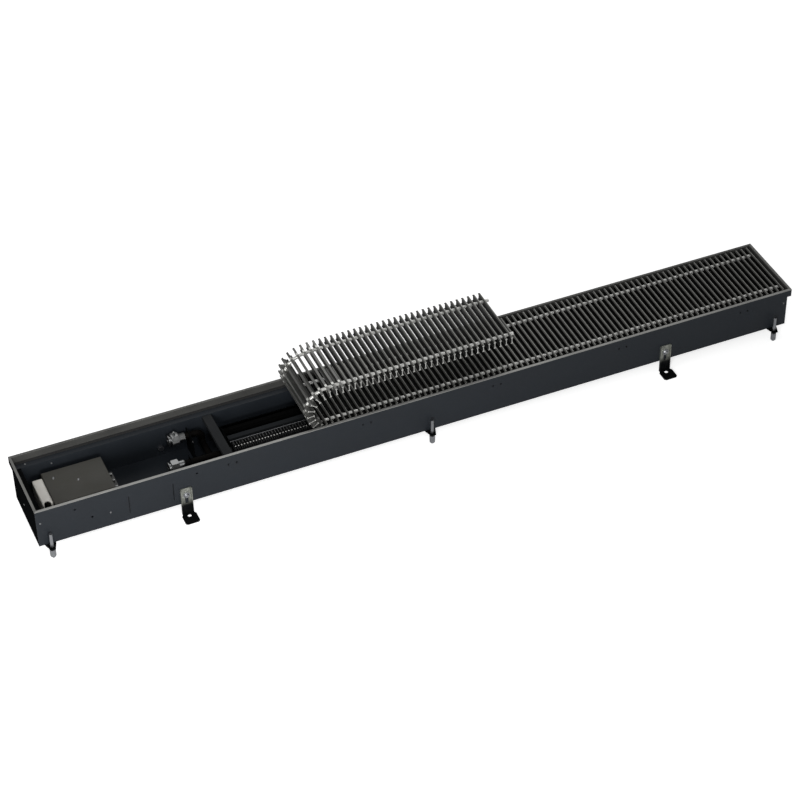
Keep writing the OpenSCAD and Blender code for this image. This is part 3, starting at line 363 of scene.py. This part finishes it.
# %% Plated metals
def plated(name, dark, light, mark=3, rough=(0.2, 0.34), metal=1.0, shine=0.5):
    """A thin even skin with handling marks."""
    made, tree, place = start(name)
    marks = add(tree, "ShaderNodeTexNoise", {"Vector": place, "Scale": per_mm(mark), "Detail": 3.0})
    tint = add(tree, "ShaderNodeMix",
               {"Factor": marks.outputs["Fac"], "A": colour(dark), "B": colour(light)}, data_type="RGBA")
    gloss = add(tree, "ShaderNodeMapRange",
                {"Value": marks.outputs["Fac"], "From Min": NOISE_LOW, "From Max": NOISE_HIGH,
                 "To Min": rough[0], "To Max": rough[1]})
    skin = add(tree, "ShaderNodeBsdfPrincipled",
               {"Base Color": tint.outputs["Result"], "Metallic": metal,
                "Roughness": gloss.outputs["Result"], "Specular IOR Level": shine})
    add(tree, "ShaderNodeOutputMaterial", {"Surface": skin.outputs["BSDF"]})
    return made


zinc_bright = plated("zinc_plated_stud_steel", "#94969a", "#adafb2", mark=8, rough=(0.3, 0.42))
zinc_dull = plated("zinc_plated_small_screws", "#77787a", "#8b8c8d", mark=8, rough=(0.45, 0.55))
nickel = plated("nickel_plated_union_brass", "#7c7d7d", "#8f9090", mark=15, rough=(0.3, 0.36))
black_steel = plated("blackened_nut_steel", "#1c1d1e", "#2a2b2c", rough=(0.35, 0.5), metal=0.6)
# Painted shade: the pipes are made near black to stand for the dark of the bay.
pipe_painted_shade = plated("pipe_copper_painted_shade_black", "#060504", "#0c0a09", mark=12, rough=(0.6, 0.75), metal=0.0,
                 shine=0.05)
print("plated metals", zinc_bright.name, nickel.name, pipe_painted_shade.name)

# %% [markdown]
# ## Moulded plastic and rubber
# The terminal cover is pale ABS and the terminal strip is black, both moulded against a lightly eroded steel
# tool, which leaves a fine matt grain. The fan's rotors are black plastic from the same kind of tool, and the
# damping strips are soft black rubber, the mattest surface of all. The grain is a bump only, because the
# plastic is coloured right through, and a second, slow noise gives the little dirt that handling leaves.

# %% Plastics
DIRT_SIZE = 35


def moulded(name, dark, light, grain=0.9, rough=0.5, lift=0.1, sheen=0.0, shine=0.5):
    """A fine grain as bump, on a colour that hardly varies."""
    made, tree, place = start(name)
    spots = add(tree, "ShaderNodeTexNoise", {"Vector": place, "Scale": per_mm(grain), "Detail": 2.0})
    dirt = add(tree, "ShaderNodeTexNoise", {"Vector": place, "Scale": per_mm(DIRT_SIZE), "Detail": 2.0})
    tint = add(tree, "ShaderNodeMix",
               {"Factor": dirt.outputs["Fac"], "A": colour(dark), "B": colour(light)}, data_type="RGBA")
    bump = add(tree, "ShaderNodeBump",
               {"Height": spots.outputs["Fac"], "Strength": lift, "Distance": 0.1 * MM})
    skin = add(tree, "ShaderNodeBsdfPrincipled",
               {"Base Color": tint.outputs["Result"], "Roughness": rough, "Normal": bump.outputs["Normal"],
                "IOR": 1.53, "Sheen Weight": sheen, "Specular IOR Level": shine})
    add(tree, "ShaderNodeOutputMaterial", {"Surface": skin.outputs["BSDF"]})
    return made


cover_abs = moulded("moulded_cover_abs", "#d0cdc6", "#dedbd4")
strip_abs = moulded("moulded_terminal_abs", "#1b1b1b", "#262626")
fan_plastic = moulded("moulded_fan_plastic", "#070707", "#0b0b0b", rough=0.9, shine=0.02)
strip_rubber = moulded("soft_damping_strip_rubber", "#08080a", "#101012", rough=0.8, sheen=0.1)
print("plastics", cover_abs.name, fan_plastic.name, strip_rubber.name)

# %% [markdown]
# ## Which piece has which finish
# Each solid from the frame keeps its shape and place, and only gets one of the materials above. They could be
# given out one by one, but a list for each finish shows at a glance what is made of the same stuff. Pieces
# that repeat have a number in their name, and are found by the name before it.

# %% Dress the solids
def numbered(stem):
    """The names of the solids that are this piece, such as all levelling feet, in order."""
    return [name for name in nodes if name.startswith(stem + "_")]


FINISHES = {
    trough_coat: ["trough", "front_ledge"],
    black_coat: ["left_end_plate", "right_end_plate", "levelling_tabs", "coil_end_plates", "pipe_plates",
                 "fan_end_plates"],
    fan_coat: ["fan_housing"],
    brace_coat: ["cross_braces"],
    web_coat: ["partition"],
    box_coat: ["control_box", "control_lid"],
    rim_painted_lit: ["rim_near"],
    rim_painted_shade: ["rim_far"],
    rim_painted_half_shade: ["rim_left", "rim_right"],
    bar_metal: ["grille_bars"],
    flap_metal: ["flap_bars"],
    roll_metal_painted_lit: numbered("roll_bar"),
    spacer_metal: ["grille_strings", "flap_strings"],
    fin_metal: ["coil_block"],
    zinc_painted_dark_foot: numbered("anchor_bracket"),
    zinc_dull: ["lid_screws", "rivets"],
    zinc_bright: ["bracket_screws", *numbered("levelling_foot")],
    nickel: ["union_nuts", "union_nipples", "air_vent"],
    pipe_painted_shade: ["coil_return_bends", "supply_pipe", "return_pipe"],
    black_steel: ["levelling_locknuts", "fan_motor"],
    cover_abs: ["terminal_cover"],
    strip_abs: ["terminal_strip"],
    fan_plastic: ["fan_impellers"],
    strip_rubber: ["damping_strips"],
}
for material, names in FINISHES.items():
    for name in names:
        nodes[name].data.materials.clear()
        nodes[name].data.materials.append(material)
undressed = set(nodes) - {name for names in FINISHES.values() for name in names}
print("dressed", sum(map(len, FINISHES.values())), "left", sorted(undressed))

# %% [markdown]
# ## Tools for the small pieces
# The solid model has square edges, and real sheet and plastic never do. The pieces below are started from a
# block or a rod, opened or cut where the real one is, rounded with a bevel and given their wall. Each helper
# does one of these steps as it would be done by hand. A finished piece keeps its place in its mesh.

# %% Shapes to start from
def block(name, low, high):
    """A box between two corners, with its place in its mesh."""
    bpy.ops.object.select_all(action="DESELECT")
    middle = [(a + b) / 2 for a, b in zip(low, high)]
    bpy.ops.mesh.primitive_cube_add(size=1, location=middle, scale=[b - a for a, b in zip(low, high)])
    made = bpy.context.object
    made.name = made.data.name = name
    bpy.ops.object.transform_apply(location=True, rotation=True, scale=True)
    return made


def rod(name, place, radius, depth, sides=32):
    """A closed upright cylinder about a middle point."""
    bpy.ops.object.select_all(action="DESELECT")
    bpy.ops.mesh.primitive_cylinder_add(vertices=sides, radius=radius, depth=depth, location=place)
    made = bpy.context.object
    made.name = made.data.name = name
    bpy.ops.object.transform_apply(location=True, rotation=True, scale=True)
    return made


print("shapes to start from: block, rod")

# %% Steps of shaping
def alone(piece):
    """Make a piece the only one that the next operator acts on."""
    bpy.ops.object.select_all(action="DESELECT")
    piece.select_set(True)
    bpy.context.view_layer.objects.active = piece


def modify(piece, kind, **settings):
    """Add a modifier to a piece and apply it."""
    alone(piece)
    added = piece.modifiers.new(kind.lower(), kind)
    for name, value in settings.items():
        setattr(added, name, value)
    bpy.ops.object.modifier_apply(modifier=added.name)


def open_below(piece):
    """Delete the face that looks down."""
    alone(piece)
    bpy.ops.object.mode_set(mode="EDIT")
    bpy.ops.mesh.select_mode(type="FACE")
    bpy.ops.mesh.select_all(action="DESELECT")
    bpy.ops.object.mode_set(mode="OBJECT")
    for face in piece.data.polygons:
        face.select = face.normal.z < -ALONG
    bpy.ops.object.mode_set(mode="EDIT")
    bpy.ops.mesh.delete(type="FACE")
    bpy.ops.object.mode_set(mode="OBJECT")


def cut_out(piece, cutter):
    """Take the cutter away from the piece, and delete the cutter."""
    modify(piece, "BOOLEAN", operation="DIFFERENCE", solver="EXACT", object=cutter)
    bpy.data.objects.remove(cutter)


def twin(piece, name, shift):
    """A copy with its own mesh, which also keeps the copy's place."""
    alone(piece)
    bpy.ops.object.duplicate(linked=False)
    made = bpy.context.object
    made.name = made.data.name = name
    made.location = shift
    bpy.ops.object.transform_apply(location=True, rotation=True, scale=True)
    return made


print("steps: modify, open_below, cut_out, twin")

# %% [markdown]
# ## Handing a piece over
# A finished piece needs a smooth look, a material and the body that it moves with. Where it stands for a
# solid, that solid is hidden. These belong together for every piece, so one function does them all and none
# is forgotten.

# %% Dress a piece
SMOOTH_BELOW = math.radians(35)


def dress(piece, material, body, slot, *nodes_for):
    """Give a finished piece its material and body, and hide the solids that it stands for. The slot is not
    used.
    """
    alone(piece)
    bpy.ops.object.shade_smooth_by_angle(angle=SMOOTH_BELOW)
    piece.data.materials.clear()
    piece.data.materials.append(material)
    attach(piece, body)
    for node in nodes_for:
        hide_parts(node)
    print(piece.name, "rides on", body, "with", len(piece.data.polygons), "faces")


# %% [markdown]
# ## Cover of the terminals
# A thin ABS shell with softly rounded edges, and a notch in its near end that lets the mains cable in. Its
# inside could be cut out with a smaller block, but then the wall would be thin at the rounded edges. So the
# block loses its floor, its edges are rounded, and Solidify gives a wall that is even everywhere. The notch
# is cut last, by a rod and a block that opens it towards the end.

# %% Terminal cover
COVER_WALL = 2.5 * MM
COVER_ROUND = 3.5 * MM
NOTCH_R = 8 * MM
NOTCH_DEEP = 12 * MM
NOTCH_IN = 4 * MM
NOTCH_ASIDE = 1.5 * MM
low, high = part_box("terminal_cover")
cover = block("terminal_cover_shell", low, high)
open_below(cover)
modify(cover, "BEVEL", width=COVER_ROUND, segments=4, limit_method="ANGLE")
modify(cover, "SOLIDIFY", thickness=COVER_WALL, offset=-1)
notch = Vector(((low[0] + high[0]) / 2 - NOTCH_ASIDE, low[1] + NOTCH_IN, high[2]))
cut_out(cover, rod("notch_round", notch, NOTCH_R, 2 * NOTCH_DEEP))
cut_out(cover, block("notch_square", (notch.x - NOTCH_R, low[1] - COVER_WALL, high[2] - NOTCH_DEEP),
                     (notch.x + NOTCH_R, notch.y, high[2] + COVER_WALL)))
dress(cover, cover_abs, "convector", "cover_plastic", "terminal_cover")

# %% [markdown]
# ## Lid of the controller
# The lid is folded from one sheet, so its edges are small radii that catch the light. Folding it flap by flap
# would give the same outside, so it is made like the cover: a block without a floor, a bevel for the folds
# and a thin wall.

# %% Controller lid
LID_FOLD = 1.4 * MM
LID_WALL = 0.9 * MM
low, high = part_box("control_lid")
lid = block("control_lid_sheet", low, high)
open_below(lid)
modify(lid, "BEVEL", width=LID_FOLD, segments=3, limit_method="ANGLE")
modify(lid, "SOLIDIFY", thickness=LID_WALL, offset=-1)
dress(lid, box_coat, "convector", "box_sheet", "control_lid")

# %% [markdown]
# ## Screws of the terminals
# Three clamp screws with round heads stand on the dark strip beside the controller. Each is a short rod with
# a rounded edge and a slot for the screwdriver. The slot could be a dark stripe in the material, but it is
# deep enough to throw a shade, so it is cut. One screw is made, and the others are copies at their places.

# %% Terminal screws
SCREW_COUNT = 3
SCREW_R = 3.2 * MM
SCREW_H = 5 * MM
SCREW_PROUD = 0.1 * MM
SCREW_ROUND = 0.8 * MM
SLOT_WIDTH = 1 * MM
SLOT_DEEP = 1.2 * MM
SLOT_OVER = 2 * MM
low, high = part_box("terminal_strip")
pitch = (high[1] - low[1]) / SCREW_COUNT
x, y = (low[0] + high[0]) / 2, low[1] + pitch / 2
screw = rod("terminal_screw_1", (x, y, high[2] + SCREW_PROUD - SCREW_H / 2), SCREW_R, SCREW_H)
modify(screw, "BEVEL", width=SCREW_ROUND, segments=3, limit_method="ANGLE")
cut_out(screw, block("slot", (x - SLOT_WIDTH / 2, y - 2 * SCREW_R, high[2] - SLOT_DEEP),
                     (x + SLOT_WIDTH / 2, y + 2 * SCREW_R, high[2] + SLOT_OVER)))
screws = [screw] + [twin(screw, f"terminal_screw_{i + 1}", (0, i * pitch, 0)) for i in range(1, SCREW_COUNT)]
for screw in screws:
    dress(screw, nickel, "convector", "zinc_steel")

# %% [markdown]
# ## Combs on the fins
# Two spacing combs are pressed over the fins, and their teeth show as two dotted rows: short bright ones, and
# long dull ones that lie across. One tooth of each is modelled, and Array repeats it at the pitch of the
# comb, which keeps all teeth alike and the row straight.

# %% Combs
COMB_PITCH = 7.6 * MM
COMB_INSET = 6 * MM
TOOTH_H = 0.5 * MM
TOOTH_ROUND = 0.2 * MM
fins_low, fins_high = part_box("coil_block")
teeth = int((fins_high[0] - fins_low[0] - 2 * COMB_INSET) / COMB_PITCH) - 1
first = fins_low[0] + COMB_INSET + COMB_PITCH


def comb(name, in_from_near, length, width, material):
    """A row of teeth on top of the fins, each with its length across the row."""
    y = fins_low[1] + in_from_near
    row = block(name, (first, y - length / 2, fins_high[2]),
                (first + width, y + length / 2, fins_high[2] + TOOTH_H))
    modify(row, "BEVEL", width=TOOTH_ROUND, segments=1, limit_method="ANGLE")
    modify(row, "ARRAY", count=teeth, use_relative_offset=False, use_constant_offset=True,
           constant_offset_displace=(COMB_PITCH, 0, 0))
    dress(row, material, "convector", "fin_aluminium")


comb("comb_dots", in_from_near=38.5 * MM, length=3.2 * MM, width=2.8 * MM, material=dot_metal)
comb("comb_strokes", in_from_near=51 * MM, length=12 * MM, width=1.4 * MM, material=stroke_metal)
print("teeth in each comb", teeth)

# %% [markdown]
# ## Seal of the fins
# A thin light strip closes the line where the fins meet the partition, so that no air passes beside them. It
# is one long block with rounded edges, because foil that is pressed down has no sharp corner.

# %% Fin seal
SEAL_WIDTH = 1.8 * MM
SEAL_H = 1.2 * MM
SEAL_GAP = 0.4 * MM
SEAL_ROUND = 0.4 * MM
seal_far = fins_high[1] - SEAL_GAP
seal = block("coil_seal", (fins_low[0] + COMB_INSET, seal_far - SEAL_WIDTH, fins_high[2]),
             (fins_high[0] - COMB_INSET, seal_far, fins_high[2] + SEAL_H))
modify(seal, "BEVEL", width=SEAL_ROUND, segments=3, limit_method="ANGLE")
dress(seal, seal_metal, "convector", "fin_aluminium")

# %% [markdown]
# ## Threads of the levelling feet
# The studs have an M8 thread, with 1.25 mm from turn to turn. A bump would show it from the front, but not in
# the outline. So its ridge is a small triangle that the Screw modifier winds up the stud. Its outer corner
# stands 0.025 mm proud of the solid, because the holes that it passes through leave no more than 0.1 mm. The
# first thread is made at the origin and moved to its stud, and the others are copies.

# %% Stud threads
THREAD_PITCH = 1.25 * MM
THREAD_TURNS = 26
THREAD_STEPS = 14
STUD_R = 4 * MM
RIDGE_R = 0.26 * MM
RIDGE_DEEP = 0.2 * MM
tops = []
for name in numbered("levelling_foot"):
    low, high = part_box(name)
    tops.append(Vector(((low[0] + high[0]) / 2, (low[1] + high[1]) / 2, high[2])))

bpy.ops.object.select_all(action="DESELECT")
bpy.ops.mesh.primitive_circle_add(vertices=3, radius=RIDGE_R, fill_type="NGON",
                                  location=(STUD_R - RIDGE_DEEP, 0, 0), rotation=(math.pi / 2, 0, 0))
thread = bpy.context.object
thread.name = thread.data.name = "stud_thread_1"
bpy.ops.object.transform_apply(location=True, rotation=True, scale=True)
modify(thread, "SCREW", axis="Z", angle=2 * math.pi, screw_offset=THREAD_PITCH, iterations=THREAD_TURNS,
       steps=THREAD_STEPS, render_steps=THREAD_STEPS, use_merge_vertices=False)
thread.location = tops[0] - Vector((0, 0, (THREAD_TURNS + 1) * THREAD_PITCH))
bpy.ops.object.transform_apply(location=True, rotation=True, scale=True)
bpy.ops.object.mode_set(mode="EDIT")
bpy.ops.mesh.select_all(action="SELECT")
bpy.ops.mesh.normals_make_consistent(inside=False)
bpy.ops.object.mode_set(mode="OBJECT")
threads = [thread] + [twin(thread, f"stud_thread_{i}", top - tops[0]) for i, top in enumerate(tops[1:], 2)]
for i, thread in enumerate(threads, 1):
    dress(thread, zinc_dull, f"foot_{i}", "zinc_steel")

# %% [markdown]
# ## Floor
# The heater stands on a pale floor. More light would turn it white, but would bleach the metal too. So the
# camera alone sees the paper a little brighter than the light makes it: a weak glow is added to the matt
# paper for the rays that come from the camera, and the heater's own shadow still falls on it.

# %% Studio floor
FLOOR_SIZE = 40
FLOOR_DROP = 0.5 * MM
PAPER_PATCH = 400
PAPER_GLOW = 0.7
bpy.ops.object.select_all(action="DESELECT")
bpy.ops.mesh.primitive_plane_add(size=FLOOR_SIZE, location=(0, 0, -FLOOR_DROP))
floor = bpy.context.object
floor.name = "studio_floor"
paper, tree, place = start("matt_white_paper")
rays = add(tree, "ShaderNodeLightPath")
fibre = add(tree, "ShaderNodeTexNoise", {"Vector": place, "Scale": per_mm(PAPER_PATCH)})
tint = add(tree, "ShaderNodeMix",
           {"Factor": fibre.outputs["Fac"], "A": colour("#e6e6e6"), "B": colour("#ebebeb")},
           data_type="RGBA")
matt = add(tree, "ShaderNodeBsdfDiffuse", {"Color": tint.outputs["Result"]})
glow = add(tree, "ShaderNodeEmission",
           {"Strength": rays.outputs["Is Camera Ray"], "Color": (PAPER_GLOW, PAPER_GLOW, PAPER_GLOW, 1)})
both = add(tree, "ShaderNodeAddShader", {0: matt.outputs["BSDF"], 1: glow.outputs["Emission"]})
add(tree, "ShaderNodeOutputMaterial", {"Surface": both.outputs["Shader"]})
floor.data.materials.append(paper)
print("floor", FLOOR_SIZE, "m wide,", FLOOR_DROP / MM, "mm below the feet")

# %% [markdown]
# ## Air round the heater
# A studio's walls throw back a weak, even light, which opens the shadows. The camera sees the same air as
# white, as it would see a backdrop far behind. One background can't do both, so the kind of ray chooses.

# %% Studio air
AIR_LIGHT = 0.25
world = bpy.data.worlds.new("studio_air")
bpy.context.scene.world = world
world.use_nodes = True
air = world.node_tree
air.nodes.clear()
rays = add(air, "ShaderNodeLightPath")
seen = add(air, "ShaderNodeMath", {0: rays.outputs["Is Camera Ray"], 1: rays.outputs["Is Transmission Ray"]},
           operation="MAXIMUM")
fill = add(air, "ShaderNodeBackground", {"Color": colour("#ffffff"), "Strength": AIR_LIGHT})
white = add(air, "ShaderNodeBackground", {"Color": colour("#ffffff"), "Strength": 1.0})
chosen = add(air, "ShaderNodeMixShader",
             {0: seen.outputs["Value"], 1: fill.outputs["Background"], 2: white.outputs["Background"]})
add(air, "ShaderNodeOutputWorld", {"Surface": chosen.outputs["Shader"]})
print("air", world.name, "at", AIR_LIGHT)

# %% [markdown]
# ## Lamps
# Four softboxes: a low and a high key at the front left, a fill at the left end, and a wide one high
# behind, which draws the tops of the bars. Small hard lamps would give sharp shadows between the bars, and
# the photograph has none, so each is an area lamp, half a metre wide or more.

# %% Softboxes
def softbox(name, place, aim, size, power):
    """A square area lamp at a place, turned towards a point."""
    lamp = bpy.data.lights.new(name, "AREA")
    lamp.energy = power
    lamp.size = size
    holder = bpy.data.objects.new(name, lamp)
    holder.location = place
    holder.visible_camera = False
    holder.rotation_euler = (Vector(aim) - Vector(place)).to_track_quat("-Z", "Y").to_euler()
    bpy.context.collection.objects.link(holder)


softbox("key_front", place=(-1.2, -2.2, 0.75), aim=(-0.5, 0, 0.1), size=0.7, power=33)
softbox("key_high", place=(-0.8, -2.0, 2.2), aim=(-0.3, 0, 0.1), size=0.8, power=18)
softbox("fill_left", place=(-3.2, -0.6, 1.5), aim=(-0.4, 0, 0), size=1.5, power=24)
softbox("top_back", place=(0.6, 2.4, 3.2), aim=(0, 0, 0), size=3.0, power=38)

# %% [markdown]
# ## Camera
# The photograph looks down on the heater from the left, with a long lens. Such a view could be set by eye,
# but a small error in the turn would shift every bar. So the place, the turn and the focal length were worked
# out from the rim's corners and the spacing of the bars.

# %% Camera
CAMERA_PLACE = (-1.8151, -4.2345, 4.0163)
CAMERA_TURN = (49.308, 0.886, -23.457)
FOCAL_LENGTH = 110.88
SENSOR = 36
lens = bpy.data.cameras.new("photo_camera")
lens.lens = FOCAL_LENGTH
lens.sensor_width = SENSOR
camera = bpy.data.objects.new("photo_camera", lens)
camera.location = CAMERA_PLACE
camera.rotation_euler = [math.radians(a) for a in CAMERA_TURN]
bpy.context.collection.objects.link(camera)
bpy.context.scene.camera = camera
bpy.context.scene.view_settings.view_transform = "Standard"
print("camera", CAMERA_PLACE, "lens", FOCAL_LENGTH)
